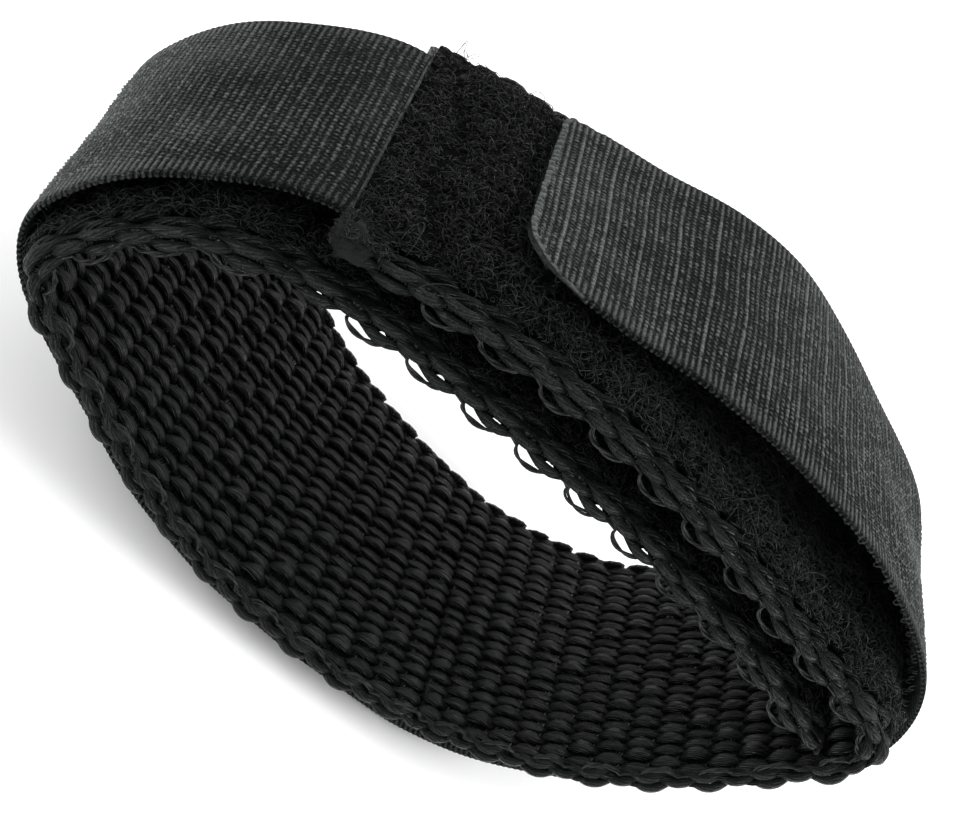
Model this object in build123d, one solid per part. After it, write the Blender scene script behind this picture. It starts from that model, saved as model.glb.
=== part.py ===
from build123d import *
import os

# Hook-and-loop ESD wrist strap, wound closed as a flattened spiral ring.
# +X is the ring's long axis, +Y runs across the strap, +Z is up.  The origin is
# below the middle of the ring, on the surface it lies on.  All lengths are in mm.

# Driving dimensions: the webbing (25.4 mm heavy loop webbing)
WEB_WIDTH = 25.4
WEB_HALF = 0.8           # half the thickness of the woven ground
PILE = 1.0               # height of the loop pile on the outer face
NEAR_BARE = 2.6          # selvedge without pile, near edge
FAR_BARE = 1.6           # selvedge without pile, far edge
WEB_NEAR = -12.2         # Y of the near edge
WEB_FAR = WEB_NEAR + WEB_WIDTH

# Driving dimensions: the hook tape (19 mm)
TAPE_WIDTH = 19.0
TAPE_HALF = 0.25         # half the thickness of the tape's ground
HOOKS = 0.45             # height of the hooks on the inner face
HOOK_INSET = 1.0         # plain edge of the tape beside the hooks
NESTED = 2.75            # from the middle of the webbing to the middle of the tape below it

# Small parts
GAP = 0.3                # slit between parts that move against each other
PICOT_PITCH = 4.0        # spacing of the locking thread's loops, two picks
PICOT_LARGE = 1.15       # loop radius, every second loop
PICOT_SMALL = 0.85       # loop radius, the loops between
PICOT_WIRE = 0.22        # thread radius
SELVEDGE = 0.4           # how far the far selvedge cord stands out
STATION = 1.0            # spacing of the points that carry an offset curve

# The flat stretch that the ring lies on
FLAT_START = -5.0
FLAT_END = 8.0
WEB_FLAT_Z = 3.0
TAPE_FLAT_Z = WEB_FLAT_Z - NESTED

# Slopes of the strip at its two cut ends
TAIL_SLOPE = 0.15
SEAM_SLOPE = 0.28
UNIT = (1.0, 1.0)        # plain unit tangents at both ends of a curve

os.makedirs("parts", exist_ok=True)


# ---- centre lines, in the X-Z plane, run anticlockwise round the ring ----
web_inner = Spline(
    (24.4, 25.7), (18.5, 27.0), (11.0, 27.9), (3.0, 28.3), (-5.0, 28.1), (-12.5, 27.2),
    (-19.5, 25.2), (-25.0, 21.7), (-28.2, 17.6), (-29.3, 14.6), (-28.0, 12.4),
    (-24.5, 10.2), (-18.5, 7.0), (-12.0, 4.4), (FLAT_START, WEB_FLAT_Z),
    tangents=[(-1, TAIL_SLOPE), (1, 0)], tangent_scalars=UNIT,
)
web_flat = Line((FLAT_START, WEB_FLAT_Z), (FLAT_END, WEB_FLAT_Z))
web_outer = Spline(
    (FLAT_END, WEB_FLAT_Z), (13.5, 4.4), (18.5, 8.0), (22.4, 13.0), (25.2, 18.6),
    (27.0, 23.4), (27.5, 26.6), (26.2, 28.9), (23.2, 29.8), (19.0, 30.3), (12.0, 31.4),
    (4.0, 32.2), (-2.0, 32.4), (-8.0, 32.0), (-14.0, 30.9), (-18.6, 29.6),
    tangents=[(1, 0), (-1, -SEAM_SLOPE)], tangent_scalars=UNIT,
)


def place(path, s):
    """Point and outward normal at a length s along a centre line."""
    point = path.position_at(s, position_mode=PositionMode.LENGTH)
    ahead = path.tangent_at(s, position_mode=PositionMode.LENGTH)
    return point, Vector(ahead.Y, -ahead.X)


def beside(path, s, distance):
    """Point at a distance outside a centre line."""
    point, out = place(path, s)
    return point + out * distance


tape_start = Spline(
    (-20.4, 29.1), (-22.6, 28.1), (-25.6, 25.9), (-28.5, 23.1), (-30.6, 20.0), (-31.7, 17.3),
    *[beside(web_inner, web_inner.length - back, NESTED) for back in (28, 24, 18, 10)],
    (FLAT_START, TAPE_FLAT_Z),
    tangents=[(-1, -SEAM_SLOPE), (1, 0)], tangent_scalars=UNIT,
)
tape_flat = Line((FLAT_START, TAPE_FLAT_Z), (FLAT_END, TAPE_FLAT_Z))
tape_end = Spline(
    (FLAT_END, TAPE_FLAT_Z), *[beside(web_outer, s, NESTED) for s in (5.0, 10.0)],
    (25.2, 11.2), (29.0, 16.8), (31.2, 21.6), (32.07, 25.4), (30.9, 29.2), (27.8, 32.4),
    (23.5, 34.4), (17.5, 35.9), (11.0, 36.5), (5.0, 36.6), (0.5, 36.2), (-4.0, 35.3),
    (-8.0, 34.8), (-11.6, 34.4),
    tangents=[(1, 0), (-1, -0.1)], tangent_scalars=UNIT,
)

# Lengths at which the strips are divided into runs
TAIL_LENGTH = 38.0       # free length of the tucked inner end
FOLD_FROM = 32.0         # along web_outer
FOLD_TO = 41.0
LIFT_AT = 53.0           # along tape_end, where the pull tab starts to lift
CURL_AT = 71.0           # along tape_end, where the tip of the tab curls

# Y offsets of the tape: it drifts towards the far edge as it is wound
TAPE_NEAR_START = -9.8
TAPE_NEAR_FLAT = -11.0
TAPE_NEAR_BULGE = -9.5
TAPE_NEAR_TAB = -8.0
TAPE_NEAR_TIP = -7.0


def slab(face, near, far):
    """A flat outline in X-Z, carried across the strap from Y near to Y far."""
    solid = extrude(Pos(0, 0, -far) * face, amount=far - near, dir=(0, 0, 1))
    return Rot(90, 0, 0) * solid


def trace(points, straight):
    """An edge through a row of points."""
    return Line(points[0], points[-1]) if straight else Spline(*points)


def band(path, start, end, inside, outside, near, far):
    """A strip that follows a centre line, between two offsets along its outward normal."""
    count = max(2, round((end - start) / STATION))
    stations = [start + (end - start) * i / count for i in range(count + 1)]
    low = [beside(path, s, inside) for s in stations]
    high = [beside(path, s, outside) for s in stations]
    straight = path.geom_type == GeomType.LINE
    sides = [trace(low, straight), trace(high[::-1], straight)]
    ends = [Line(low[-1], high[-1]), Line(high[0], low[0])]
    return slab(Face(Wire(sides + ends)), near, far)


def save(shape, name):
    shape.label = name
    export_step(shape, "parts/" + name + ".step")


# ---- webbing, pile and far selvedge, run by run ----
web_runs = {
    "tail": (web_inner, 0.0, TAIL_LENGTH),
    "left_turn": (web_inner, TAIL_LENGTH + GAP, web_inner.length),
    "wrist_run": (web_flat, 0.0, web_flat.length),
    "rise": (web_outer, 0.0, FOLD_FROM),
    "fold": (web_outer, FOLD_FROM, FOLD_TO),
    "outer_run": (web_outer, FOLD_TO, web_outer.length),
}


def make_webbing(run, path, start, end):
    """Woven ground, loop pile and far selvedge cord of one run."""
    save(band(path, start, end, -WEB_HALF, WEB_HALF, WEB_NEAR, WEB_FAR), "webbing_" + run)
    pile_near = WEB_NEAR + NEAR_BARE
    pile_far = WEB_FAR - FAR_BARE
    save(band(path, start, end, WEB_HALF, WEB_HALF + PILE, pile_near, pile_far), "pile_" + run)
    cord = band(path, start, end, -WEB_HALF * 0.75, WEB_HALF * 0.75, WEB_FAR, WEB_FAR + SELVEDGE)
    save(cord, "selvedge_" + run)


for run, (path, start, end) in web_runs.items():
    make_webbing(run, path, start, end)


# ---- locking thread: a row of loops along the near edge ----
def picots(stretches):
    """Half rings of thread, alternately large and small, standing out of the near edge."""
    loops = []
    for path, start, end in stretches:
        count = int((end - start - 2 * PICOT_LARGE) / PICOT_PITCH)
        first = start + (end - start - count * PICOT_PITCH) / 2
        for i in range(count + 1):
            point, out = place(path, first + i * PICOT_PITCH)
            radius = PICOT_LARGE if i % 2 == 0 else PICOT_SMALL
            seat = Plane(
                origin=(point.X, WEB_NEAR, point.Y),
                x_dir=(-out.Y, 0, out.X),
                z_dir=(out.X, 0, out.Y),
            )
            loops.append(seat * Torus(radius, PICOT_WIRE, major_angle=180, align=None))
    return Compound(children=loops)


save(picots([web_runs["tail"]]), "picots_tail")
save(picots([web_runs["left_turn"], web_runs["wrist_run"], web_runs["rise"]]), "picots_wrist_run")
save(picots([web_runs["fold"], web_runs["outer_run"]]), "picots_outer_run")


# ---- hook tape and its hooks, run by run ----
tape_runs = {
    "left_turn": (tape_start, 0.0, tape_start.length, TAPE_NEAR_START),
    "wrist_run": (tape_flat, 0.0, tape_flat.length, TAPE_NEAR_FLAT),
    "bulge": (tape_end, 0.0, LIFT_AT, TAPE_NEAR_BULGE),
}


def tape(path, start, end, near):
    """Woven ground of the hook tape."""
    return band(path, start, end, -TAPE_HALF, TAPE_HALF, near, near + TAPE_WIDTH)


def hooks(path, start, end, near):
    """The field of hooks on the tape's inner face."""
    low = near + HOOK_INSET
    high = near + TAPE_WIDTH - HOOK_INSET
    return band(path, start, end, -TAPE_HALF - HOOKS, -TAPE_HALF, low, high)


for run, layout in tape_runs.items():
    save(tape(*layout), "tape_" + run)
    save(hooks(*layout), "hooks_" + run)

tab_root = (tape_end, LIFT_AT + GAP, CURL_AT, TAPE_NEAR_TAB)
save(tape(*tab_root), "tape_tab")
save(hooks(*tab_root), "hooks_tab")


# ---- tip of the pull tab, with rounded corners and a heat-sealed edge ----
TIP_X = -11.2            # X of the cut end
TIP_NEAR_RADIUS = 5.0    # the near corner is cut with a wide curve
TIP_FAR_RADIUS = 1.5
SEAL = 0.7               # width of the sealed edge


def tip_plan(inset):
    """Prism over the tab's plan view: a rounded end, drawn in by an inset."""
    left = TIP_X + inset
    near = TAPE_NEAR_TIP
    far = TAPE_NEAR_TIP + TAPE_WIDTH
    right = 20.0
    outline = Polyline((right, near), (left, near), (left, far), (right, far), close=True)
    plan = make_face(outline)
    corners = plan.vertices().sort_by(Axis.X)[:2].sort_by(Axis.Y)
    plan = fillet(corners[0], TIP_NEAR_RADIUS - inset)
    corners = plan.vertices().sort_by(Axis.X)[:2].sort_by(Axis.Y)
    plan = fillet(corners[-1], TIP_FAR_RADIUS - inset)
    return extrude(Pos(0, 0, 30) * plan, amount=12, dir=(0, 0, 1))


tip = (tape_end, CURL_AT + GAP, tape_end.length, TAPE_NEAR_TIP)
save(tape(*tip) & tip_plan(SEAL), "tape_tip")
save((tape(*tip) & tip_plan(0)) - tip_plan(SEAL), "tip_sealed_edge")
save(hooks(*tip) & tip_plan(1.4), "hooks_tip")


# ---- sealed ends and the weld that joins tape and webbing ----
weld_path = Line(web_outer @ 1, tape_start @ 0)
weld = band(weld_path, 0.0, weld_path.length, -0.7, 0.7, TAPE_NEAR_START, TAPE_NEAR_START + TAPE_WIDTH)
save(weld, "weld_seam")

melted = band(weld_path, 0.0, weld_path.length, -1.2, 1.2, WEB_NEAR, TAPE_NEAR_START)
save(fillet(melted.edges().filter_by(Axis.Y), 0.6), "melted_end_outer")

end_path = Line(web_inner @ 0 + Vector(0.8, -0.8 * TAIL_SLOPE), web_inner @ 0)
save(band(end_path, 0.0, end_path.length, -0.65, 0.65, WEB_NEAR, WEB_FAR), "sealed_end_inner")
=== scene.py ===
import bpy
import numpy as np
from mathutils import Matrix, Vector


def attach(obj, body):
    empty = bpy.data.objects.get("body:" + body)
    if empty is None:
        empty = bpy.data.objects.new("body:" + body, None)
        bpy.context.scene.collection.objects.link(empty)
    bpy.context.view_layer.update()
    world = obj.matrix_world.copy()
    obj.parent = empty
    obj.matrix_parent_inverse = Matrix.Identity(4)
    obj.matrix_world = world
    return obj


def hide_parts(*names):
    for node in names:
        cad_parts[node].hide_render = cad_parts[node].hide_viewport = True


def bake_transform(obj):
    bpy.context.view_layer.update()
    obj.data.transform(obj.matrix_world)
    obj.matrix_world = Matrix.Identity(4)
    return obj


# ESD wrist strap: heavy loop webbing wound into a ring, with a hook tape welded to its outer end.
# Sizes below are in millimetres, in the row frame; meshes are written in metres.

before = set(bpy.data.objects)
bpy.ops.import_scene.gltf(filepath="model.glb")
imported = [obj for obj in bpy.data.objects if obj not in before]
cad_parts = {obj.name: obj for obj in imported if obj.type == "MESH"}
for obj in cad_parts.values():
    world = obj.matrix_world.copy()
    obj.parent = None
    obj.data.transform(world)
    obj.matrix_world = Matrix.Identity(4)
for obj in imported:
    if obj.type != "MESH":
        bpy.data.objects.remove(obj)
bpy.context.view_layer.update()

MM = 0.001
TAU = 2 * np.pi

# ---------------------------------------------------------------- the strips' centre lines
WEB_NEAR, WEB_WIDTH = -12.2, 25.4
WEB_FAR = WEB_NEAR + WEB_WIDTH
NESTED = 2.75            # middle of the webbing to the middle of the tape
FLAT_START, FLAT_END = -5.0, 8.0
WEB_FLAT_Z, TAPE_FLAT_Z = 3.0, 0.25


def spline(points, first, last, step=0.05):
    """Points of a smooth curve through the given ones, with given end directions."""
    p = np.array(points, float)
    h = np.linalg.norm(np.diff(p, axis=0), axis=1)
    n = len(p)
    a = np.eye(n)
    b = np.zeros((n, 2))
    b[0] = np.array(first) / np.linalg.norm(first)
    b[-1] = np.array(last) / np.linalg.norm(last)
    for i in range(1, n - 1):
        a[i, i - 1], a[i, i], a[i, i + 1] = h[i], 2 * (h[i - 1] + h[i]), h[i - 1]
        b[i] = 3 * (h[i] * (p[i] - p[i - 1]) / h[i - 1] + h[i - 1] * (p[i + 1] - p[i]) / h[i])
    d = np.linalg.solve(a, b)
    out = []
    for i in range(n - 1):
        t = np.linspace(0, 1, max(3, int(h[i] / step)), endpoint=i == n - 2)[:, None]
        out.append((2 * t**3 - 3 * t**2 + 1) * p[i] + (t**3 - 2 * t**2 + t) * h[i] * d[i]
                   + (3 * t**2 - 2 * t**3) * p[i + 1] + (t**3 - t**2) * h[i] * d[i + 1])
    return np.concatenate(out)


def smooth(x, stations, values, width=5.0):
    """Values between stations, rounded off over a width."""
    offsets = np.linspace(-width, width, 9)
    weights = np.cos(offsets / width * np.pi / 2) ** 2
    return sum(w * np.interp(x + o, stations, values) for o, w in zip(offsets, weights)) / weights.sum()


class Path:
    """A line in the X-Z plane, measured by its length, with its outward normal.
    edges gives, at stations along it, how far the strip's near and far edges stand outside it,
    and how far the near edge is drawn in across the strip."""

    edges = ([0, 1], [0, 0], [0, 0], [0, 0])

    def __init__(self, *parts):
        p = np.concatenate(parts)
        keep = np.r_[True, np.linalg.norm(np.diff(p, axis=0), axis=1) > 1e-6]
        self.p = p[keep]
        self.s = np.r_[0, np.cumsum(np.linalg.norm(np.diff(self.p, axis=0), axis=1))]
        t = np.gradient(self.p, self.s, axis=0)
        self.t = t / np.linalg.norm(t, axis=1, keepdims=True)
        self.length = self.s[-1]

    def at(self, s, y, out):
        """Points at lengths s, across the strap at y, and at a distance outside the line."""
        s, y, out = np.broadcast_arrays(s, y, out)
        c = np.clip(s, 0, self.length)
        near, far, drawn = (smooth(c, self.edges[0], values) for values in self.edges[1:])
        out = out + near + (far - near) * (y - WEB_NEAR) / WEB_WIDTH
        y = y + drawn * (WEB_FAR - y) / WEB_WIDTH
        tx, tz = np.interp(c, self.s, self.t[:, 0]), np.interp(c, self.s, self.t[:, 1])
        x = np.interp(c, self.s, self.p[:, 0]) + tx * (s - c) + tz * out
        z = np.interp(c, self.s, self.p[:, 1]) + tz * (s - c) - tx * out
        return np.stack([x, y, z], -1)

    def outward(self, s):
        """The outward normal at lengths s."""
        tx, tz = np.interp(s, self.s, self.t[:, 0]), np.interp(s, self.s, self.t[:, 1])
        return np.stack([tz, 0 * tx, -tx], -1)

    def ahead(self, s):
        """The direction along the strip at lengths s."""
        tx, tz = np.interp(s, self.s, self.t[:, 0]), np.interp(s, self.s, self.t[:, 1])
        return np.stack([tx, 0 * tx, tz], -1)


inner = spline([(24.4, 25.7), (18.5, 27.0), (11.0, 27.9), (3.0, 28.3), (-5.0, 28.1), (-12.5, 27.2),
                (-19.5, 25.2), (-25.0, 21.7), (-28.2, 17.6), (-29.3, 14.6), (-28.0, 12.4),
                (-24.5, 10.2), (-18.5, 7.0), (-12.0, 4.4), (FLAT_START, WEB_FLAT_Z)],
               (-1, 0.15), (1, 0))
outer = spline([(FLAT_END, WEB_FLAT_Z), (13.5, 4.4), (18.5, 8.0), (22.4, 13.0), (25.2, 18.6),
                (27.0, 23.4), (27.5, 26.6), (26.2, 28.9), (23.2, 29.8), (19.0, 30.3), (12.0, 31.4),
                (4.0, 32.2), (-2.0, 32.4), (-8.0, 32.0), (-14.0, 30.9), (-18.6, 29.6)],
               (1, 0), (-1, -0.28))
WEB_IN = Path(inner)
WEB = Path(inner, outer)
WEB_FLAT = WEB_IN.length                      # where the flat stretch starts, along the webbing
WEB_RISE = WEB_FLAT + FLAT_END - FLAT_START
WEB_END = WEB.length


def nested(s):
    """A point of the tape's centre line where it lies against the webbing."""
    p = WEB.at(s, 0.0, NESTED)
    return (float(p[0]), float(p[2]))


tape_start = spline([(-20.4, 29.1), (-22.6, 28.1), (-25.6, 25.9), (-28.5, 23.1), (-30.6, 20.0),
                     (-31.7, 17.3), *[nested(WEB_FLAT - back) for back in (28, 24, 18, 10)],
                     (FLAT_START, TAPE_FLAT_Z)], (-1, -0.28), (1, 0))
tape_end = spline([(FLAT_END, TAPE_FLAT_Z), nested(WEB_RISE + 5), nested(WEB_RISE + 10),
                   (25.2, 11.2), (29.0, 16.8), (31.2, 21.6), (32.07, 25.4), (30.9, 29.2), (27.8, 32.4),
                   (23.5, 34.4), (17.5, 35.9), (11.0, 36.5), (5.0, 36.6), (0.5, 36.2), (-4.0, 35.3),
                   (-8.0, 34.8), (-11.6, 34.4)], (1, 0), (-1, -0.1))
TAPE = Path(tape_start, tape_end)
TAPE_WIDTH = 19.0
TAPE_FLAT = Path(tape_start).length
TAPE_TURN = TAPE_FLAT + FLAT_END - FLAT_START
TAPE_END = TAPE.length


# The strips are a little twisted: the wrist run's far edge is high on the left and low on the right.
WEB.edges = (
    [0, 8, 34, 42, 50, 56, 62, 68, 80, 87, 94, 98, 102, 107, 112, 121, 128, 136, 155, WEB_END],
    [0, 0, 0, 0.6, 1.1, 0.7, -0.2, -0.2, -0.5, -0.7, -0.5, -0.9, -1.8, -2.0, -1.7, -1.0, -0.6, 0, 0, 0],
    [0, 0, 0, 0, 0, -0.1, -1.0, -2.2, -2.6, -1.5, -0.2, 0, 0, 0.7, 2.5, 3.1, 1.9, 0.4, -0.3, -0.5],
    [0, 0, 0, 0, 0, 0, 0, 0, 0, 0, 0.1, 0.4, 0.6, 0.6, 0.6, 0.6, 0.6, 0.2, 0, 0])
TAPE.edges = (
    [0, 6, 12, 22, 34, 45, 57, 64, 70, 78, 86, 94, 100, 104, 108, 112, 117, 121, 127, 132, 136, 141, 146, 150,
     TAPE_END],
    [0, -0.1, -0.2, -0.7, -0.8, -0.6, -0.5, -1.0, -1.3, -0.8, -1.3, -1.6, -2.0, -2.0, -1.3, -0.6, -0.2,
     0, 0, 0, 0, 0, 0, 0, 0],
    [0.5, 0.3, 0.4, -0.1, -1.2, -2.1, -1.3, -0.5, 0.0, 0.6, 0.6, 0.3, 0.0, -0.3, -0.6, -1.1, -1.3,
     -1.1, 0.1, 0.9, 0.7, 0.0, -0.9, -1.5, -2.5],
    [0] * 25)


def tape_near(s):
    """The tape's near edge: it drifts across the webbing as it is wound."""
    stations = [0, 20, 42, 60, 75, 88, 95, 112, 126, 145, TAPE_END]
    return smooth(s, stations, [-9.2, -9.6, -10.1, -9.9, -9.2, -8.3, -8.0, -7.7, -7.6, -7.7, -7.7])


# ---------------------------------------------------------------- mesh tools
def unit(v):
    return v / np.maximum(np.linalg.norm(v, axis=-1, keepdims=True), 1e-12)


def mesh_object(name, points, quads, tris, ngons, key, values):
    """A smooth-shaded mesh from arrays, in millimetres, with one named vector for each point."""
    mesh = bpy.data.meshes.new(name)
    sizes = np.concatenate([np.full(len(quads), 4), np.full(len(tris), 3), [len(g) for g in ngons]])
    loops = np.concatenate([quads.ravel(), tris.ravel(), *ngons])
    mesh.vertices.add(len(points))
    mesh.vertices.foreach_set("co", (points * MM).astype(np.float32).ravel())
    mesh.loops.add(len(loops))
    mesh.loops.foreach_set("vertex_index", loops.astype(np.int32))
    mesh.polygons.add(len(sizes))
    starts = np.r_[0, np.cumsum(sizes)[:-1]]
    mesh.polygons.foreach_set("loop_start", starts.astype(np.int32))
    mesh.polygons.foreach_set("use_smooth", np.ones(len(sizes), bool))
    mesh.update(calc_edges=True)
    layer = mesh.attributes.new(key, "FLOAT_VECTOR", "POINT")
    layer.data.foreach_set("vector", values.astype(np.float32).ravel())
    obj = bpy.data.objects.new(name, mesh)
    bpy.context.scene.collection.objects.link(obj)
    return obj


class Build:
    """Gathers tubes and strips that become one mesh."""

    CAPS = {4: [(0, 1, 2, 3)], 8: [(0, 1, 2, 3), (0, 3, 4, 7), (4, 5, 6, 7)]}  # quads that close a tube's end

    def __init__(self):
        self.points, self.quads, self.tris, self.ngons, self.fields = [], [], [], [], []
        self.count = 0

    def add(self, points, quads, tris, ngons, field):
        self.points.append(points)
        self.quads.append(quads + self.count)
        self.tris.append(tris + self.count)
        self.ngons += [g + self.count for g in ngons]
        self.fields.append(field)
        self.count += len(points)

    def tubes(self, centre, up, wide, tall, sides, tag, along=None):
        """Closed tubes along centre lines (tube, station, xyz); tall is measured along up."""
        m, n = centre.shape[:2]
        wide, tall = np.broadcast_to(wide, (m, n)), np.broadcast_to(tall, (m, n))
        ahead = unit(np.gradient(centre, axis=1))
        side = unit(np.cross(ahead, np.broadcast_to(up, centre.shape)))
        top = np.cross(side, ahead)
        angle = TAU * np.arange(sides) / sides
        ring = (centre[:, :, None] + side[:, :, None] * (wide[..., None] * np.cos(angle))[..., None]
                + top[:, :, None] * (tall[..., None] * np.sin(angle))[..., None])
        index = np.arange(m * n * sides).reshape(m, n, sides)
        a, b = index[:, :-1], index[:, 1:]
        quads = np.stack([a, b, np.roll(b, -1, 2), np.roll(a, -1, 2)], -1).reshape(-1, 4)
        first, last = index[:, 0], index[:, -1, ::-1]
        tris = np.zeros((0, 3), int)
        if sides == 3:
            tris = np.concatenate([first, last])
        else:
            caps = [end[:, list(corners)] for end in (first, last) for corners in self.CAPS[sides]]
            quads = np.concatenate([quads] + caps)
        if along is None:
            along = np.cumsum(np.linalg.norm(np.diff(centre, axis=1, prepend=centre[:, :1]), axis=-1), axis=1)
        along = np.broadcast_to(along, (m, n))[..., None] + 0 * angle
        tag = np.broadcast_to(tag, (m, n))[..., None] + 0 * angle
        field = np.stack([along, np.cos(angle) + 0 * along, tag], -1).reshape(-1, 3)
        self.add(ring.reshape(-1, 3), quads, tris, [], field)

    def strip(self, points, field):
        """A closed strip from rows of points that go round its section."""
        rows, loop = points.shape[:2]
        index = np.arange(rows * loop).reshape(rows, loop)
        a, b = index[:-1], index[1:]
        quads = np.stack([a, np.roll(a, -1, 1), np.roll(b, -1, 1), b], -1).reshape(-1, 4)
        caps = [index[0, ::-1].copy(), index[-1].copy()]
        self.add(points.reshape(-1, 3), quads, np.zeros((0, 3), int), caps, field.reshape(-1, 3))

    def make(self, name, key, material):
        """The finished piece, with its material."""
        arrays = [np.concatenate(v) for v in (self.points, self.quads, self.tris)]
        obj = mesh_object(name, *arrays, self.ngons, key, np.concatenate(self.fields))
        obj.data.materials.append(material)
        return obj


def waver(x, spacing, seed):
    """Smooth seeded waver along x, about one in size."""
    r = np.random.default_rng(seed)
    k = r.uniform(0.6, 2.6, 4) * TAU / spacing / 2
    f = r.uniform(0, TAU, 4)
    return sum(np.sin(k[i] * x + f[i]) for i in range(4)) / 2


def waver2(x, y, spacing, seed):
    """Smooth seeded waver over a surface, about one in size."""
    r = np.random.default_rng(seed)
    total = 0
    for i in range(9):
        turn, f = r.uniform(0, TAU, 2)
        k = r.uniform(0.6, 2.2) * TAU / spacing / 1.5
        total = total + np.sin(k * (x * np.cos(turn) + y * np.sin(turn)) + f)
    return total / 3


# ---------------------------------------------------------------- materials
def nodes_of(name):
    mat = bpy.data.materials.new(name)
    mat.use_nodes = True
    tree = mat.node_tree
    return mat, tree, tree.nodes["Principled BSDF"]


def feed(tree, value, socket):
    """Links value to a socket, or sets the socket to it."""
    if isinstance(value, bpy.types.NodeSocket):
        tree.links.new(value, socket)
    else:
        socket.default_value = value


def node(tree, kind, inputs=None, **settings):
    n = tree.nodes.new(kind)
    for key, value in settings.items():
        setattr(n, key, value)
    for key, value in (inputs or {}).items():
        feed(tree, value, n.inputs[key])
    return n


def calc(tree, operation, *values):
    return node(tree, "ShaderNodeMath", dict(enumerate(values)), operation=operation).outputs[0]


def vector(tree, *values):
    return node(tree, "ShaderNodeCombineXYZ", dict(enumerate(values))).outputs[0]


def remap(tree, value, low, high, first, last):
    """value carried from low..high to first..last, and held there."""
    sockets = {"Value": value, "From Min": low, "From Max": high, "To Min": first, "To Max": last}
    return node(tree, "ShaderNodeMapRange", sockets).outputs[0]


def ramp(tree, value, low, high, dark, light):
    """Colour between two tones, as value goes from low to high."""
    n = tree.nodes.new("ShaderNodeValToRGB")
    n.color_ramp.elements[0].position = low
    n.color_ramp.elements[0].color = (*dark, 1)
    n.color_ramp.elements[1].position = high
    n.color_ramp.elements[1].color = (*light, 1)
    tree.links.new(value, n.inputs[0])
    return n.outputs[0]


def dress(tree, bsdf, colour, rough, specular, height, strength, depth):
    """Gives the surface its colour and gloss, and a bump of a depth in millimetres."""
    bump = node(tree, "ShaderNodeBump", {"Height": height, "Strength": strength, "Distance": depth * MM})
    feed(tree, colour, bsdf.inputs["Base Color"])
    feed(tree, rough, bsdf.inputs["Roughness"])
    feed(tree, bump.outputs[0], bsdf.inputs["Normal"])
    feed(tree, specular, bsdf.inputs["Specular IOR Level"])


def thread_material(name, dark, light, filaments, rough, specular, depth):
    """A multifilament thread: fine filaments along it, slightly twisted, and a soft gloss."""
    # turns for each millimetre, and the noise's scale along a thread and between threads
    twist, stretch, spread = 1.3, 0.7, 37.0
    mat, tree, bsdf = nodes_of(name)
    field = node(tree, "ShaderNodeAttribute", attribute_name="thread")
    along, across, tag = node(tree, "ShaderNodeSeparateXYZ", {0: field.outputs["Vector"]}).outputs
    line = calc(tree, "ADD", calc(tree, "MULTIPLY", across, filaments), calc(tree, "MULTIPLY", along, twist))
    place = vector(tree, calc(tree, "MULTIPLY", along, stretch), line, calc(tree, "MULTIPLY", tag, spread))
    fibre = node(tree, "ShaderNodeTexNoise", {"Vector": place, "Scale": 0.8, "Detail": 3.0, "Roughness": 0.6})
    fibre = fibre.outputs["Fac"]
    wander = calc(tree, "MULTIPLY", fibre, 9.0)
    wave = calc(tree, "SINE", calc(tree, "ADD", calc(tree, "MULTIPLY", line, 6.283), wander))
    height = calc(tree, "ADD", calc(tree, "MULTIPLY", wave, 0.25), fibre)
    # tag sets a thread's tone; some pieces use it for painted light and shade, the rest for random tone
    tone = calc(tree, "ADD", calc(tree, "MULTIPLY", height, 0.62), calc(tree, "MULTIPLY", tag, 0.38))
    gloss = remap(tree, height, 0.25, 0.75, rough + 0.14, rough - 0.08)
    shine = remap(tree, height, 0.2, 0.85, specular * 0.25, specular * 1.6)
    dress(tree, bsdf, ramp(tree, tone, 0.25, 0.78, dark, light), gloss, shine, height, 1.0, depth)
    return mat


def cloth_material(name, dark, light):
    """The back of the hook tape: fine ribs, beaded by the crossing yarns, with small glints; its colour is
    painted lighter on the ribs and beads and darker between them, as painted highlight and painted shade.
    """
    low, high = 0.50, 1.20                    # tones of the deepest gap and of the highest bead: painted shade in the gaps, painted highlight on the beads
    mat, tree, bsdf = nodes_of(name)
    field = node(tree, "ShaderNodeAttribute", attribute_name="cloth")
    along, across, relief = node(tree, "ShaderNodeSeparateXYZ", {0: field.outputs["Vector"]}).outputs
    place = vector(tree, calc(tree, "MULTIPLY", along, 3.2), calc(tree, "MULTIPLY", across, 4.4), 0.0)
    grain = node(tree, "ShaderNodeTexNoise",
                 {"Vector": place, "Scale": 1.6, "Detail": 4.0, "Roughness": 0.75})
    grain = grain.outputs["Fac"]
    wide = node(tree, "ShaderNodeTexNoise", {"Vector": place, "Scale": 0.035, "Detail": 2.0}).outputs["Fac"]
    # tone follows the relief: painted shade in the gaps between ribs, painted highlight on rib and bead tops;
    # grain and wide add random tone
    tone = calc(tree, "ADD", calc(tree, "MULTIPLY", relief, 0.62), calc(tree, "MULTIPLY", grain, 0.90))
    tone = calc(tree, "ADD", tone, calc(tree, "MULTIPLY", calc(tree, "SUBTRACT", wide, 0.5), 0.25))
    fleck = node(tree, "ShaderNodeTexVoronoi", {"Vector": place, "Scale": 0.8}).outputs["Distance"]
    gloss = remap(tree, fleck, 0.10, 0.34, 0.28, 0.60)
    shine = remap(tree, tone, low, high, 0.03, 0.38)
    dress(tree, bsdf, ramp(tree, tone, low, high, dark, light), gloss, shine, grain, 0.7, 0.05)
    return mat


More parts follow.
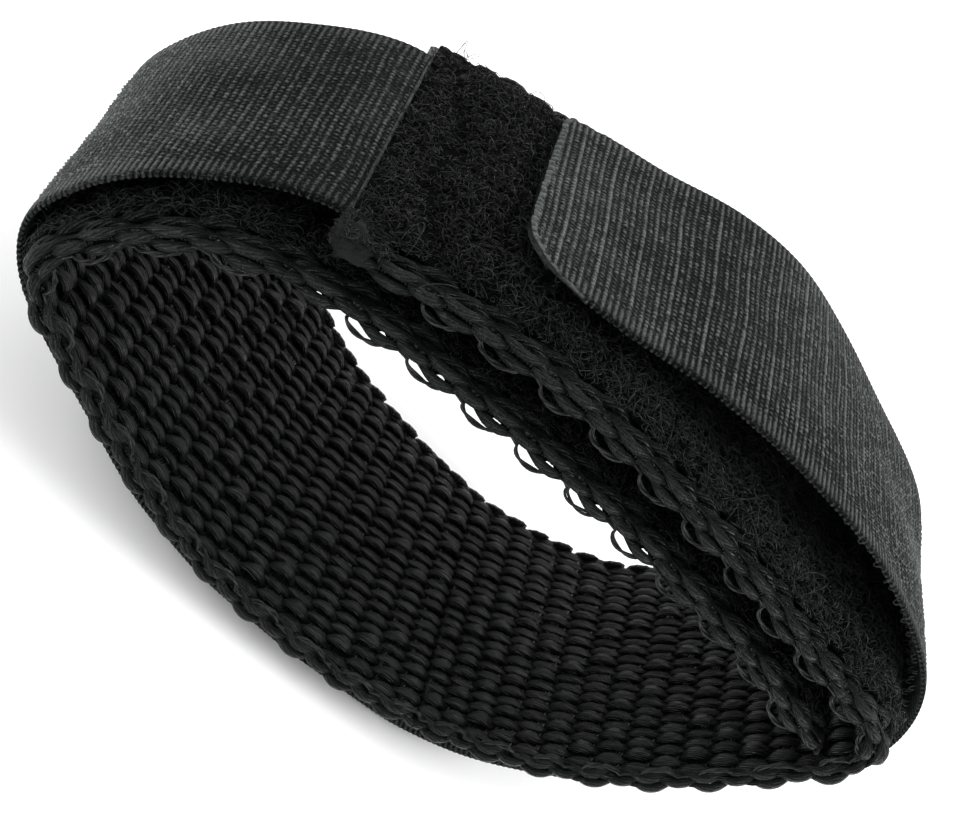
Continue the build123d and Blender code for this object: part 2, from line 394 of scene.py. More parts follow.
def fused_material(name, light):
    """Nylon that has been melted: lumpy, with a dull gloss and frosted patches."""
    mat, tree, bsdf = nodes_of(name)
    place = node(tree, "ShaderNodeTexCoord").outputs["Object"]
    lump = node(tree, "ShaderNodeTexNoise",
                {"Vector": place, "Scale": 1600.0, "Detail": 5.0, "Roughness": 0.65})
    lump = lump.outputs["Fac"]
    colour = ramp(tree, lump, 0.35, 0.7, [c * 0.12 for c in light], light)
    gloss = remap(tree, lump, 0.3, 0.7, 0.45, 0.75)
    dress(tree, bsdf, colour, gloss, 0.12, lump, 1.0, 0.22)
    return mat


M_WEB = thread_material("webbing_yarn", (0.0002, 0.0003, 0.00025), (0.0063, 0.0077, 0.0072),
                        filaments=4.2, rough=0.32, specular=0.14, depth=0.08)
M_PILE = thread_material("pile_fibre", (0.0014, 0.0017, 0.0016), (0.0145, 0.0168, 0.0159),
                         filaments=1.0, rough=0.46, specular=0.19, depth=0.01)
M_MAT = thread_material("pile_root", (0.0004, 0.0005, 0.00045), (0.0060, 0.0068, 0.0064),
                        filaments=3.0, rough=0.85, specular=0.03, depth=0.25)
M_LOCK = thread_material("locking_thread", (0.0020, 0.0024, 0.0022), (0.0150, 0.0172, 0.0164),
                         filaments=2.0, rough=0.34, specular=0.22, depth=0.02)
M_HOOK = thread_material("hook_monofilament", (0.008, 0.009, 0.0085), (0.030, 0.034, 0.032),
                         filaments=1.5, rough=0.32, specular=0.30, depth=0.01)
M_TAPE = cloth_material("hook_tape_back", (0.0006, 0.0010, 0.0008), (0.110, 0.125, 0.118))
M_FUSED = fused_material("fused_nylon", (0.0062, 0.0073, 0.0068))
M_SEALED = fused_material("sealed_edge", (0.060, 0.068, 0.064))


# ---------------------------------------------------------------- the webbing's weave
PICK = 2.0               # spacing of the weft picks
WARPS = 45               # warp yarns across the width
MARGIN = 4               # warp yarns of the near margin, which are set wider apart
WARP_SIDES = 8           # corners of a yarn's section
SHUFFLE = 97             # floats before a yarn's unevenness repeats


def float_swell(turn, waver_spacing, s, seed):
    """How far a selvedge yarn swells where it floats, and how it thins where it is tied down."""
    return np.clip(0.5 + 0.75 * np.cos(turn), 0, 1) ** 0.8 * (1 + 0.10 * waver(s, waver_spacing, seed))


def warp_yarns(build, start, end):
    """Warp yarns that pass over and under the picks; each float is a lens-shaped arch."""
    s = np.linspace(start, end, round((end - start) * 3) + 1)[None, :]
    j = np.arange(WARPS)[:, None]
    r = np.random.default_rng(5)
    phase = s / PICK + j
    turn = np.floor(phase + 0.5).astype(int) % SHUFFLE
    lift, lean = r.normal(0, 1, (WARPS, SHUFFLE)), r.normal(0, 1, (WARPS, SHUFFLE))
    lift, lean = np.clip(lift, -2, 2)[j, turn], np.clip(lean, -2, 2)[j, turn]
    c = np.cos(np.pi * phase)
    heavy = (j % 3 == 0) * 1.0
    edge = np.clip(0.6 + np.minimum(j, WARPS - 1 - j) / 6.0, 0, 1)
    swing = (0.32 + 0.20 * heavy) * (1 + 0.14 * lift) * edge
    out = -swing * c * (1.2 - 0.2 * c * c)
    across = np.interp(j, [0, MARGIN, WARPS - 1], [0.78, 3.30, WEB_WIDTH - 0.35])
    y = WEB_NEAR + across + 0.07 * lean * c * c
    wide = 0.22 + (0.23 + 0.03 * heavy + 0.03 * lift + 0.12 * (j < MARGIN)) * np.abs(c) ** 0.8
    tall = (0.21 + 0.02 * heavy) * (0.6 + 0.4 * edge) + 0 * c
    # tag: random tone for each yarn, plus lighter where lift raises a float, painted light on the higher
    # floats
    tag = r.uniform(0, 1, (WARPS, 1)) * 0.5 + 0.25 + 0.12 * lift
    up = WEB.outward(s[0])[None, :, :]
    build.tubes(WEB.at(s, y, out), up, wide, tall, WARP_SIDES, tag, along=s)


def selvedge_yarns(build, start, end):
    """Three yarns round the near edge and two beside them, their fat floats staggered like a braid."""
    s = np.linspace(start, end, round((end - start) * 4) + 1)[None, :]
    up = WEB.outward(s[0])[None, :, :]
    r = np.random.default_rng(6)
    row = np.arange(3)[:, None]
    turn = np.pi * (s / PICK + row + 0.5)
    swell = float_swell(turn, 5.0, s, 7)
    y = WEB_NEAR + 0.50 - 0.32 * np.clip(np.cos(turn), -0.9, 1)
    centre = WEB.at(s, y, 0.46 - 0.46 * row + 0.05 * np.cos(turn))
    # the near-edge yarns get lighter tones than the body's yarns, painted light on the near edge; the waver
    # adds random tone
    tag = r.uniform(1.0, 1.3, (3, 1)) + 0.3 * waver(s, 3.0, 8)
    build.tubes(centre, up, 0.12 + 0.13 * swell, 0.11 + 0.24 * swell, WARP_SIDES, tag, along=s)
    row, turn = row[:2], turn[:2]
    swell = float_swell(turn, 4.0, s, 10)
    y = WEB_NEAR + 1.12 + 0.66 * row - 0.16 * np.sin(turn)
    centre = WEB.at(s, y, 0.40 + 0.14 * np.cos(turn))
    # lighter tones here too, painted light on the near edge
    tag = r.uniform(0.7, 1.1, (2, 1)) + 0.3 * waver(s, 3.0, 11)
    build.tubes(centre, up, 0.10 + 0.12 * swell, 0.14 + 0.27 * swell, WARP_SIDES, tag, along=s)


def weft_picks(build, start, end):
    """Flat weft bundles under the floats."""
    s = np.arange(np.ceil(start / PICK), np.ceil(end / PICK))[:, None] * PICK
    y = np.linspace(WEB_NEAR + 0.35, WEB_FAR - 0.35, 24)[None, :]
    up = WEB.outward(s[:, 0])[:, None, :]
    # the wefts are real yarns; tag 0.1 gives them the darkest tone, which paints shade in the gaps between
    # the floats
    build.tubes(WEB.at(s, y, 0 * s), up, 0.92, 0.20, WARP_SIDES, 0.1)


def edge_turns(build, start, end, edge, toward, radius, slant, thick, length, raised):
    """The fat weft turning round an edge of the webbing, once for each pick, like the turns of a cord.
    They shrink into the melted outer end."""
    last = min(end, WEB_END - 1.2)
    s = (np.arange(np.ceil(start / PICK), np.ceil(last / PICK))[:, None] + 0.5) * PICK
    r = np.random.default_rng(9)
    angle = np.linspace(-1.5, 1.5, 9)[None, :]
    shrink = np.clip((WEB_END + 0.2 - s) / 3.0, 0.55, 1)
    size = radius * (1 + 0.08 * r.normal(0, 1, s.shape)) * shrink
    y = edge + toward * (size * np.cos(angle) - 0.35)
    points = WEB.at(s + slant * np.sin(angle), y, raised + size * np.sin(angle))
    up = WEB.ahead(s[:, 0])[:, None, :]
    fat = (0.45 + 0.65 * np.cos(angle)) * shrink
    build.tubes(points, up, thick * fat, length * fat, WARP_SIDES, r.uniform(0.3, 0.9, s.shape))


def webbing(name, start, end):
    """A run of the heavy webbing, woven from its yarns."""
    build = Build()
    warp_yarns(build, start, end)
    weft_picks(build, start, end)
    selvedge_yarns(build, start, end)
    edge_turns(build, start, end, WEB_NEAR + 0.70, -1,
               radius=0.36, slant=-0.2, thick=0.12, length=0.55, raised=0.0)
    edge_turns(build, start, end, WEB_FAR - 0.10, 1,
               radius=0.46, slant=0.16, thick=0.36, length=1.02, raised=0.13)
    return build.make(name, "thread", M_WEB)


STRAND = 0.090           # radius of a strand of the locking thread
LOOP_ROOM = 1.6          # a loop's middle keeps this far from the ends of its run


def locking_thread(name, start, end):
    """Two strands along the near edge: an open loop at every second pick, tucked in between."""
    build = Build()
    r = np.random.default_rng(21)
    pitch = 2 * PICK
    angle = np.linspace(0, np.pi, 15)
    s, y, out = [], [], []
    for cell in np.arange(np.ceil((start + LOOP_ROOM) / pitch), np.floor((end - LOOP_ROOM) / pitch) + 1):
        depth, reach = r.uniform(0.50, 0.74), r.uniform(1.15, 1.40)
        s.append(pitch * cell - 0.2 - reach * np.cos(angle) + r.normal(0, 0.08))
        y.append(WEB_NEAR + 0.40 - 0.05 * np.sin(angle))
        out.append(-0.52 - depth * np.sin(angle))
        s.append(pitch * (cell + np.array([0.42, 0.5, 0.58])))
        y.append(np.full(3, WEB_NEAR + 0.50))
        out.append(np.array([-0.40, -0.36, -0.40]))
    s, y, out = (np.concatenate(v)[:-3] for v in (s, y, out))     # the last tuck has no loop after it
    for strand in (-1, 1):
        wind = 0.09 * strand
        points = WEB.at(s + 0.03 * strand, y + wind * np.cos(2.2 * s), out + wind * np.sin(2.2 * s))[None]
        up = WEB.outward(np.clip(s, 0, WEB_END))[None]
        build.tubes(points, up, STRAND, STRAND, WARP_SIDES, 0.5)
    return build.make(name, "thread", M_LOCK)


# ---------------------------------------------------------------- the loop pile
PILE_NEAR, PILE_FAR = WEB_NEAR + 2.2, WEB_FAR - 1.2
PILE_END = WEB_END + 1.2
ROOT = 0.62              # the pile's foot, outside the webbing's middle
FIBRE = 0.027            # radius of a filament
LOOSE_FIBRE = 0.024


def pile_height(s, y):
    """How tall the pile stands: matted and creased beside the weld, and low under the tip."""
    back = PILE_END - s
    seam = np.clip(0.45 + back / 6.0, 0.45, 1)
    crease_line = back - 3.2 + 0.10 * (y - 1) - 0.5 * np.sin(y / 2.1)
    crease = 1 - 0.9 * np.exp(-(crease_line / 1.1) ** 2)
    under = 1 - 0.7 * np.clip((back - 10.5) / 2, 0, 1) * np.clip((y - 1) / 9, 0, 1)
    return seam * crease * under * (1 + 0.22 * waver2(s, y, 5.0, 31))


def pile(name, start, end, per_mm2, seed, crowd=1.0, tone=0.5, near=PILE_NEAR - 0.6, far=PILE_FAR - 0.1):
    """Curled loops of fine filament; crowd gathers them toward the near edge, where they can be seen."""
    build = Build()
    r = np.random.default_rng(seed)
    count = int(per_mm2 * (end - start) * (far - near))
    s0, y0 = r.uniform(start + 0.2, end - 0.2, count), r.uniform(0, 1, count) ** crowd
    y0 = near + (far - near) * y0
    tallness = pile_height(s0, y0)
    keep = r.uniform(0, 1, count) < 0.2 + 1.2 * tallness
    s0, y0, tallness, count = s0[keep], y0[keep], tallness[keep], int(keep.sum())
    tallness = tallness * np.clip(0.6 + 0.7 * (y0 - PILE_NEAR), 0.4, 1)
    tallness = tallness * np.clip(0.3 + 0.5 * (PILE_FAR - y0), 0.2, 1)
    radius = r.uniform(0.24, 0.62, count) * tallness ** 0.5
    turn, tilt, begin = r.uniform(0, TAU, count), r.uniform(-1.25, 1.25, count), r.uniform(-0.9, 0.3, count)
    sweep = r.uniform(0.9, 1.9, count) * np.pi
    t = np.linspace(0, 1, 9)[None, :]
    angle = begin[:, None] + sweep[:, None] * t
    flat = radius[:, None] * np.cos(angle)
    rise = radius[:, None] * np.sin(angle)
    du = flat + r.normal(0, 0.35, (count, 1)) * t
    dw = rise * np.sin(tilt)[:, None] + r.normal(0, 0.3, (count, 1)) * t
    ds = du * np.cos(turn)[:, None] - dw * np.sin(turn)[:, None]
    dy = du * np.sin(turn)[:, None] + dw * np.cos(turn)[:, None]
    lie = (0.30 + r.uniform(0.0, 0.42, count) * tallness)[:, None]
    out = ROOT + np.maximum(lie + rise * np.cos(tilt)[:, None] * tallness[:, None], -0.1)
    points = WEB.at(s0[:, None] + ds, y0[:, None] + dy, out)
    up = np.broadcast_to(unit(r.normal(0, 1, (count, 1, 3))), points.shape)
    thin = FIBRE * (1 - 0.5 * np.abs(2 * t - 1) ** 6) + 0 * flat
    # tone lightens or darkens all the loops of a piece; the pieces below use it for painted light
    build.tubes(points, up, thin, thin, 3, tone + r.uniform(-0.5, 0.5, (count, 1)))
    return build.make(name, "thread", M_PILE)


def pile_root(name, start, end):
    """The matted root of the pile, a lumpy layer on the ground weave."""
    build = Build()
    s = np.linspace(start, end, int((end - start) / 0.35) + 2)[:, None]
    y = np.linspace(PILE_NEAR - 0.1, PILE_FAR + 0.4, 66)[None, :]
    edge = np.clip(np.minimum(y - PILE_NEAR, PILE_FAR - y) / 0.8, 0, 1)
    lumps = 0.10 * waver2(s, y, 1.1, 41) + 0.08 * waver2(s, y, 2.7, 42)
    top = 0.66 + (0.34 + lumps) * edge * np.clip(pile_height(s, y), 0.3, 1.2)
    foot = np.full(top.shape, 0.45)
    s, y = np.broadcast_arrays(s, y)
    loop_s, loop_y, loop_out = (np.concatenate(v, 1) for v in ((s, s[:, ::-1]), (y, y[:, ::-1]), (top, foot)))
    field = np.stack([loop_s * 5, loop_y * 1.5, 0.5 + 0 * loop_s], -1)
    build.strip(WEB.at(loop_s, loop_y, loop_out), field)
    return build.make(name, "thread", M_MAT)


def loose_fibres(name, places):
    """Loose filaments, each a long uneven curl; a place is (back from the end, across, reach)."""
    build = Build()
    r = np.random.default_rng(33)
    t = np.linspace(0, 1, 24)
    up = np.array([0.3, 0.4, 0.86])
    for back, y, reach in places:
        size = r.normal(0, reach, (3, 3))
        curl = [sum(size[k,
                         axis] * np.sin((k + 1) * 2.6 * t) / (k + 1) for k in range(3)) for axis in range(3)]
        points = WEB.at(WEB_END - back + curl[0], y + curl[1], 0.7 + np.abs(curl[2]))
        build.tubes(points[None], up, LOOSE_FIBRE, LOOSE_FIBRE, 3, 1.2)
    return build.make(name, "thread", M_PILE)


# ---------------------------------------------------------------- the hook tape
RIB = 0.42               # spacing of the tape's ribs
BEAD = 0.38              # spacing of the beads along a rib
RELIEF = 0.17            # height of a full bead
TIP_RADIUS = 4.4         # the tip's rounded near corner
TIP_FAR_RADIUS = 1.0
TIP_SLANT = 0.035        # how far the tip is cut back, for each millimetre across it
SCALLOP = 0.62           # spacing of the scallops along the sealed edge
HOOK_PITCH = 0.84
HOOK = 0.07              # radius of a hook's filament


def tape_relief(s, v):
    """Height of the ribs on the tape's back, at a length s and a distance v from its near edge."""
    bent = s + 0.10 * np.sin(v / 4.1 + 0.3) + 0.05 * waver2(s, v, 6.0, 51)
    pick = np.floor(bent / RIB + 0.5).astype(int)
    rib = (0.5 + 0.5 * np.cos(TAU * bent / RIB)) ** 1.3
    inside = np.clip((np.minimum(v, TAPE_WIDTH - v) - 1.1) / 0.5, 0, 1)
    chance = np.random.default_rng(61).uniform(0, 1, (401, 53))
    cell = np.floor(v / BEAD + 0.5 * (pick % 2)).astype(int)
    bead = 0.5 + 0.5 * np.cos(TAU * (v / BEAD + 0.5 * (pick % 2) - 0.5))
    luck = chance[pick % 401, cell % 53]
    knot = (luck < 0.16) * bead
    every_second, every_sixth = pick % 2 == 0, pick % 6 == 0
    open_run = np.clip((s - TAPE_TURN) / 10, 0, 1)
    taut = 1 - np.clip((s - 4) / 16, 0, 1)
    strong = 0.56 + (0.04 + 0.14 * taut + 0.14 * open_run) * every_second + 0.12 * open_run * every_sixth
    plain = (0.04 + 0.22 * taut + 0.18 * open_run) * every_second + 0.10 + 0.16 * open_run * every_sixth
    body = rib * (strong * (plain + (1 - plain) * bead ** 1.5) * (0.45 + 1.1 * luck) + 0.80 * knot)
    height = np.clip(inside * body + (1 - inside) * rib * 0.55, 0, 1.4)
    return height * (1.10 - 0.50 * taut - 0.24 * open_run) + 0.12 * (1 - taut) * (1 - open_run)


def corner(distance, radius):
    """How far a rounded corner is cut back, at a distance from its side."""
    short = np.clip(radius - distance, 0, radius)
    return radius - np.sqrt(radius**2 - short**2)


def tape(name, start, end, tip=False):
    """The tape's ground: ribbed back, plain inner face, and edges that show the ribs' ends."""
    build = Build()
    rows = int(round((end - start) / (RIB / 4)))
    v_top = np.r_[0.0, 0.06, np.linspace(0.15, TAPE_WIDTH - 0.15, 176), TAPE_WIDTH - 0.06, TAPE_WIDTH]
    v_low = np.linspace(TAPE_WIDTH, 0, 22)
    v = np.r_[v_top, v_low][None, :]
    on_top = np.arange(v.size)[None, :] < v_top.size
    scallops = np.cos(TAU * v / SCALLOP + 1.2 * waver(v, 3.0, 74))
    last = np.full(v.shape, end)
    if tip:
        last = end - corner(v, TIP_RADIUS) - corner(TAPE_WIDTH - v, TIP_FAR_RADIUS) - TIP_SLANT * v
        last = last + 0.05 * waver(v, 1.6, 71) + 0.035 * scallops
    # rows keep their spacing up to the last 0.8 mm, which takes up the shape of the end
    squeezed = 0.8
    s = np.linspace(0, 1, rows + 1)[:, None] * (end - start)
    room = last - start - squeezed
    s = start + np.where(s <= room, s, room + (s - room) * squeezed / (end - start - room))
    from_edge = np.minimum(v, TAPE_WIDTH - v)
    relief = tape_relief(s, v) * (0.3 + 0.7 * np.clip(from_edge / 0.6, 0, 1))
    edge = np.clip(from_edge / 0.2, 0, 1)
    lines = 0.5 + 0.5 * np.cos(TAU * s / RIB)
    out = np.where(on_top, 0.06 + 0.10 * edge + RELIEF * relief, -0.08 - 0.08 * edge - 0.05 * lines)
    if tip:
        seal = np.clip((s - last + 0.42) / 0.15, 0, 1)
        bead = 0.5 + 0.5 * scallops
        rolled = np.sqrt(np.clip(1 - ((s - last + 0.25) / 0.30) ** 2, 0, 1))
        raised = 0.06 * rolled + 0.14 * bead * rolled - RELIEF * relief
        out = out + seal * np.where(on_top, raised, 0.05)
        # the sealed rim's tone rises with its scallop beads: painted highlight on each bead
        relief = relief * (1 - seal) + seal * (0.26 + 0.32 * bead)
    ripple = np.where(v < TAPE_WIDTH / 2, -0.025, 0.025) * np.cos(TAU * s / RIB) * (1 - edge)
    y = tape_near(s) + v + 0.06 * waver(s, 9.0, 72) + ripple
    # the third value carries the relief to the colour: painted shade between the ribs, painted highlight on
    # their tops; on the inner face the rib lines are painted lighter, a painted highlight
    field = np.stack([s, v + 0 * s, np.where(on_top, relief, 0.05 + 0.40 * lines)], -1)
    build.strip(TAPE.at(s, y, out + 0.10 * waver2(s, v, 14.0, 73)), field)
    return build.make(name, "cloth", M_TAPE)


def hooks(name, start, end, tip=False):
    """Monofilament hooks in staggered rows on the tape's inner face."""
    build = Build()
    rows, places = np.arange(start + 0.4, end - 0.3, HOOK_PITCH), np.arange(1.3, TAPE_WIDTH - 1.2, HOOK_PITCH)
    s, v = np.meshgrid(rows, places)
    v = v + HOOK_PITCH / 2 * (np.round(s / HOOK_PITCH) % 2)
    s, v = s.ravel(), v.ravel()
    if tip:
        keep = s < end - 0.7 - TIP_SLANT * v - corner(v, TIP_RADIUS)
        s, v = s[keep], v[keep]
    r = np.random.default_rng(81)
    count = len(s)
    lean = r.choice([-1, 1], count) * r.uniform(0.8, 1.1, count)
    yaw = r.normal(0, 0.35, count)
    hoop = np.pi * 1.25 * np.linspace(0, 1, 8)[None, :]
    reach = lean[:, None] * 0.20 * (1 - np.cos(hoop))
    stem = 0.10 + 0.16 * np.minimum(hoop, 1.2)
    rise = stem + 0.28 * np.sin(np.minimum(hoop, np.pi)) - 0.12 * np.maximum(hoop - np.pi, 0)
    y = (tape_near(s) + v)[:, None] + reach * np.sin(yaw)[:, None]
    points = TAPE.at(s[:, None] + reach * np.cos(yaw)[:, None], y, -0.12 - rise)
    build.tubes(points, np.array([0.0, 1.0, 0.05]), HOOK, HOOK, 4, r.uniform(0.2, 0.8, (count, 1)))
    return build.make(name, "thread", M_HOOK)


# ---------------------------------------------------------------- sealed and welded ends
SQUARENESS = 3.0         # of a lump; 2 is an ellipsoid and more is closer to a block


def lump(name, path, s, y, half, seed, out=0.0, rough=0.12, material=M_FUSED):
    """A closed lump of fused nylon, rounded-box shaped, with an uneven skin."""
    build = Build()
    rows, cols = 56, 48
    a = np.linspace(-np.pi / 2 + 0.05, np.pi / 2 - 0.05, rows)[:, None]
    b = TAU * np.arange(cols)[None, :] / cols

    def power(x):
        return np.sign(x) * np.abs(x) ** (2 / SQUARENESS)

    px = power(np.cos(a)) * power(np.cos(b))
    py = power(np.sin(a)) + 0 * b
    pz = power(np.cos(a)) * power(np.sin(b))
    x, y_skin = px * half[0], py * half[1]
    uneven = waver2(x, y_skin, 1.2, seed) + waver2(x + 2 * pz, y_skin, 0.45, seed + 1)
    skin = 1 + rough * (uneven + 0.7 * waver2(x - 2 * pz, y_skin, 0.22, seed + 2))
    ls, ln = x * skin, half[2] * pz * skin
    build.strip(path.at(s + ls, y + y_skin, out + ln), np.stack([ls, y_skin, ln], -1))
    return build.make(name, "thread", material)


# ---------------------------------------------------------------- pieces, and the bodies they move with
TAIL_TO = 45.0           # the tail's pieces reach past its hinge
HALF_WAY, FOLDED = 101.0, 141.0                                # where the webbing's pieces meet
FOLD, OUTER_RUN = WEB_RISE + 32.0, WEB_RISE + 41.0             # either end of the fold
LIFT, CURL = TAPE_TURN + 53.0, TAPE_TURN + 71.0                # the tape's two hinges
HINGE_REACH = 4.5        # the span given to bend() on either side of a hinge; bend() only bakes a piece's transform


def between_ribs(s):
    """A place near s where two of the tape's ribs meet, so that a joint between pieces doesn't show."""
    return round(s / RIB) * RIB + RIB / 2


TAPE_BEGIN, TURNED = -0.63, 66.5 * RIB
UNDER, BULGED = between_ribs(TAPE_FLAT + 6.0), between_ribs(TAPE_TURN + 22.0)
TAB_FROM, TIP_FROM = between_ribs(LIFT - 7.5), between_ribs(LIFT + 9.0)


def at_mm(path, s, y=0.0):
    return Vector(path.at(s, y, 0.0) * MM)


def bend(obj, path, start, end):
    at_mm(path, start)
    at_mm(path, end)
    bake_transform(obj)


web_tail = webbing("webbing_weave_tail", 0.3, TAIL_TO)
web_left = webbing("webbing_weave_left", TAIL_TO, HALF_WAY)
web_fold = webbing("webbing_weave_fold", HALF_WAY, FOLDED)
web_outer = webbing("webbing_weave_outer", FOLDED, WEB_END + 1.0)
lock_tail = locking_thread("locking_thread_tail", 0.3, TAIL_TO)
lock_ring = locking_thread("locking_thread_ring", TAIL_TO, WEB_END - 1.5)
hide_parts("webbing_tail", "selvedge_tail")
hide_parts("webbing_left_turn", "webbing_wrist_run", "selvedge_left_turn", "selvedge_wrist_run")
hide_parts("webbing_rise", "webbing_fold", "selvedge_rise", "selvedge_fold")
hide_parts("webbing_outer_run", "selvedge_outer_run")
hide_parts("picots_tail")
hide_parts("picots_wrist_run", "picots_outer_run")

mat_tail = pile_root("pile_root_tail", 0.4, TAIL_TO)
mat_left = pile_root("pile_root_left", TAIL_TO, HALF_WAY)
mat_right = pile_root("pile_root_right", HALF_WAY, WEB_END + 1.1)
pile_end = pile("pile_loops_end", 0.4, TAIL_TO / 2, 7.0, 101, 1.3)
pile_tail = pile("pile_loops_tail", TAIL_TO / 2, TAIL_TO, 7.0, 110, 1.3)
pile_left = pile("pile_loops_left", TAIL_TO, TAIL_TO + 22.0, 8.0, 102, 1.5)
pile_wrist = pile("pile_loops_wrist", TAIL_TO + 22.0, FOLD - 32.0, 4.5, 109, 1.5)
pile_rise = pile("pile_loops_rise", FOLD - 32.0, FOLD, 5.4, 103, 1.4)
# tone: lighter at the fold and the outer run, painted light where the light falls; darker toward the seam
pile_fold = pile("pile_loops_fold", FOLD, OUTER_RUN + 2.0, 12.0, 104, tone=1.4)
pile_outer = pile("pile_loops_outer", OUTER_RUN + 2.0, OUTER_RUN + 14.0, 13.0, 105, tone=1.4)
pile_run = pile("pile_loops_run", OUTER_RUN + 14.0, OUTER_RUN + 25.0, 14.0, 106, tone=1.0)
pile_bare = pile("pile_loops_bare", OUTER_RUN + 25.0, WEB_END - 7.0, 16.0, 107, tone=0.3)
pile_seam = pile("pile_loops_seam", WEB_END - 7.0, WEB_END + 1.2, 19.0, 108, tone=0.0)
pile_fused = pile("pile_loops_fused", WEB_END - 1.9, WEB_END + 1.4, 18.0, 111, tone=0.5,
                  near=WEB_NEAR + 0.2, far=PILE_NEAR + 0.3)
loose = loose_fibres("loose_fibres", (
    (0.4, WEB_FAR - 0.2, 0.9), (1.2, WEB_FAR, 0.7), (0.9, WEB_FAR - 0.5, 0.6),
    (2.2, WEB_NEAR + 1.0, 0.8), (6.0, WEB_NEAR + 0.9, 1.1), (9.5, WEB_NEAR + 1.4, 0.9),
    (14.0, WEB_NEAR + 0.7, 1.2), (19.0, WEB_NEAR + 1.6, 1.0), (26.0, WEB_NEAR + 1.2, 1.2),
    (33.0, WEB_NEAR + 1.5, 1.1), (41.0, WEB_NEAR + 1.1, 1.0), (46.0, WEB_NEAR + 1.8, 0.9)))
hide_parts("pile_tail")
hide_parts("pile_left_turn")
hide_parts("pile_wrist_run")
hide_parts("pile_rise")
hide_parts("pile_fold")
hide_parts("pile_outer_run")

tape_left = tape("hook_tape_left", TAPE_BEGIN, TURNED)
tape_under = tape("hook_tape_under", TURNED, UNDER)
tape_rise = tape("hook_tape_rise", UNDER, BULGED)
tape_bulge = tape("hook_tape_bulge", BULGED, TAB_FROM)
tape_tab = tape("hook_tape_tab", TAB_FROM, TIP_FROM)
tape_tip = tape("hook_tape_tip", TIP_FROM, TAPE_END + 0.4, tip=True)
hooks_left = hooks("hooks_left", 0.0, TAPE_FLAT)
hooks_bulge = hooks("hooks_bulge", TAPE_FLAT, TAB_FROM)
hooks_tab = hooks("hooks_tab", TAB_FROM, TIP_FROM)
hooks_tip = hooks("hooks_tip", TIP_FROM, TAPE_END + 0.4, tip=True)
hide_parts("tape_left_turn")
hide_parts("tape_wrist_run")
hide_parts("tape_bulge")
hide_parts("tape_tab")
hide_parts("tape_tip", "tip_sealed_edge")
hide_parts("hooks_left_turn", "hooks_wrist_run")
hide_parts("hooks_bulge")
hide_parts("hooks_tab")
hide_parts("hooks_tip")

weld = lump("weld_bead", TAPE, TAPE_BEGIN, tape_near(0) + TAPE_WIDTH / 2, (0.12, TAPE_WIDTH / 2, 0.36), 7,
            out=0.05, rough=0.08, material=M_SEALED)
blob = lump("melted_corner", WEB, WEB_END + 0.3, WEB_NEAR + 1.6, (1.25, 1.8, 0.72), 8, out=0.25, rough=0.13)
seal = lump("sealed_inner_end", WEB, 0.0, WEB_NEAR + WEB_WIDTH / 2, (0.5, WEB_WIDTH / 2, 0.6), 9, rough=0.10)
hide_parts("weld_seam")
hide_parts("melted_end_outer")
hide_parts("sealed_end_inner")

for piece in (web_left, web_fold, web_outer, lock_ring, mat_left, mat_right, pile_left, pile_wrist, pile_rise,
              pile_fold, pile_outer, pile_run, pile_bare, pile_seam, pile_fused, loose, tape_left, tape_under,
              tape_rise, tape_bulge, hooks_left, hooks_bulge, weld, blob):
    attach(piece, "ring")
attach(seal, "tail")
for piece in (web_tail, lock_tail, mat_tail, pile_tail, pile_end):
    bend(piece, WEB, TAIL_TO - 1.0, TAIL_TO - 14.0)
for piece in (tape_tab, hooks_tab):
    bend(piece, TAPE, LIFT - HINGE_REACH, LIFT + HINGE_REACH)
for piece in (tape_tip, hooks_tip):
    bend(piece, TAPE, CURL - HINGE_REACH, CURL + HINGE_REACH)

# ---------------------------------------------------------------- floor, light and camera
lowest = (web_left, web_fold, tape_under, tape_rise)
low = min((piece.matrix_world @ Vector(point)).z for piece in lowest for point in piece.bound_box)


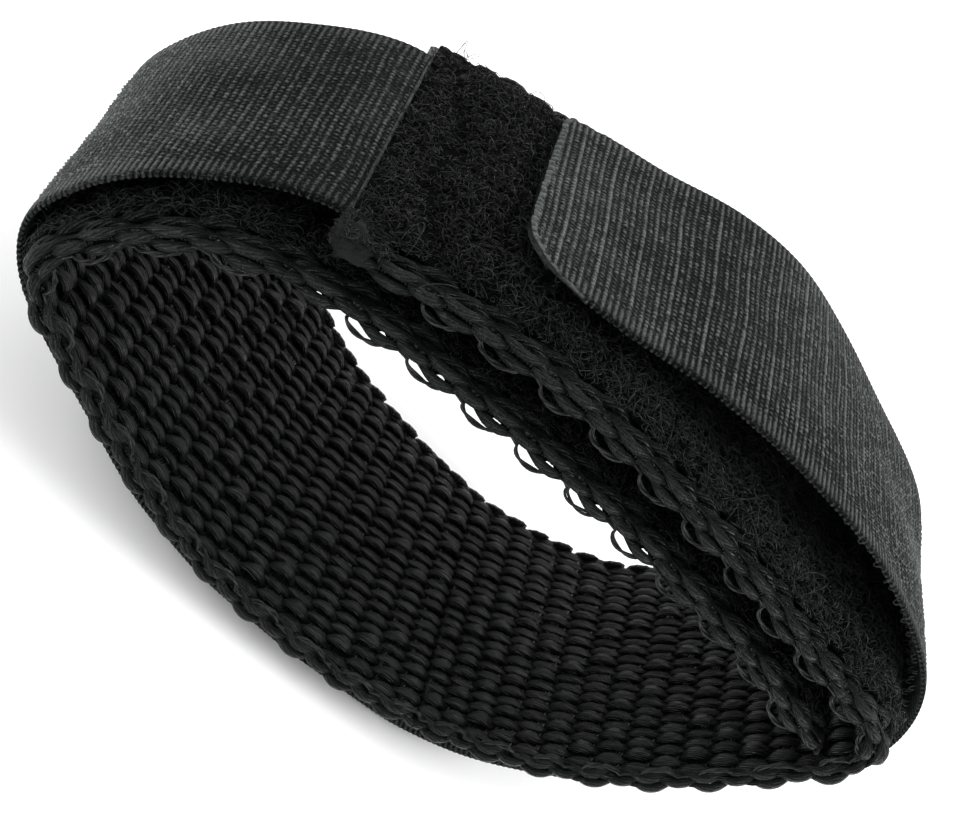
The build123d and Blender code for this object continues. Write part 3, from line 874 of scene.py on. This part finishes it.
def plain(name, colour, rough):
    mat, tree, bsdf = nodes_of(name)
    grain = node(tree, "ShaderNodeTexNoise", {"Scale": 40.0, "Detail": 2.0})
    tone = ramp(tree, grain.outputs["Fac"], 0.3, 0.7, [c * 0.99 for c in colour], colour)
    tree.links.new(tone, bsdf.inputs["Base Color"])
    bsdf.inputs["Roughness"].default_value = rough
    bsdf.inputs["Specular IOR Level"].default_value = 0.1
    return mat


floor_mesh = bpy.data.meshes.new("floor")
floor_mesh.from_pydata([(-3, -3, low), (3, -3, low), (3, 3, low), (-3, 3, low)], [], [(0, 1, 2, 3)])
floor = bpy.data.objects.new("floor", floor_mesh)
bpy.context.scene.collection.objects.link(floor)
floor_mesh.materials.append(plain("floor_paper", (0.98, 0.98, 0.98), 0.9))


def softbox(name, place, target, size, power):
    light = bpy.data.lights.new(name, "AREA")
    light.shape = "RECTANGLE"
    light.size, light.size_y = size
    light.energy = power
    obj = bpy.data.objects.new(name, light)
    obj.location = place
    obj.rotation_euler = (Vector(target) - Vector(place)).to_track_quat("-Z", "Y").to_euler()
    bpy.context.scene.collection.objects.link(obj)
    return obj


softbox("key", (0.32, -0.05, 0.28), (0, 0, 0.02), (0.24, 0.24), 1.25)
softbox("fill", (-0.34, -0.14, 0.26), (0, 0, 0.02), (0.30, 0.20), 0.95)
softbox("back", (0.05, 0.38, 0.22), (0, 0, 0.02), (0.40, 0.20), 0.50)

world = bpy.data.worlds.new("studio")
world.use_nodes = True
world.node_tree.nodes["Background"].inputs["Color"].default_value = (1, 1, 1, 1)
world.node_tree.nodes["Background"].inputs["Strength"].default_value = 1.0
bpy.context.scene.world = world
bpy.context.scene.view_settings.view_transform = "Standard"

camera = bpy.data.cameras.new("camera")
camera.sensor_width = 36.0
camera.lens = 56.25
camera.clip_start, camera.clip_end = 0.005, 20.0
eye = bpy.data.objects.new("camera", camera)
right = Vector((0.7017, 0.1999, 0.6838))
down = Vector((0.6369, -0.6063, -0.4763))
ahead = Vector((0.3194, 0.7697, -0.5527))
turned = Matrix((right, -down, -ahead)).transposed().to_4x4()
eye.matrix_world = Matrix.Translation(Vector((-33.89, -75.19, 73.30)) * MM) @ turned
bpy.context.scene.collection.objects.link(eye)
bpy.context.scene.camera = eye
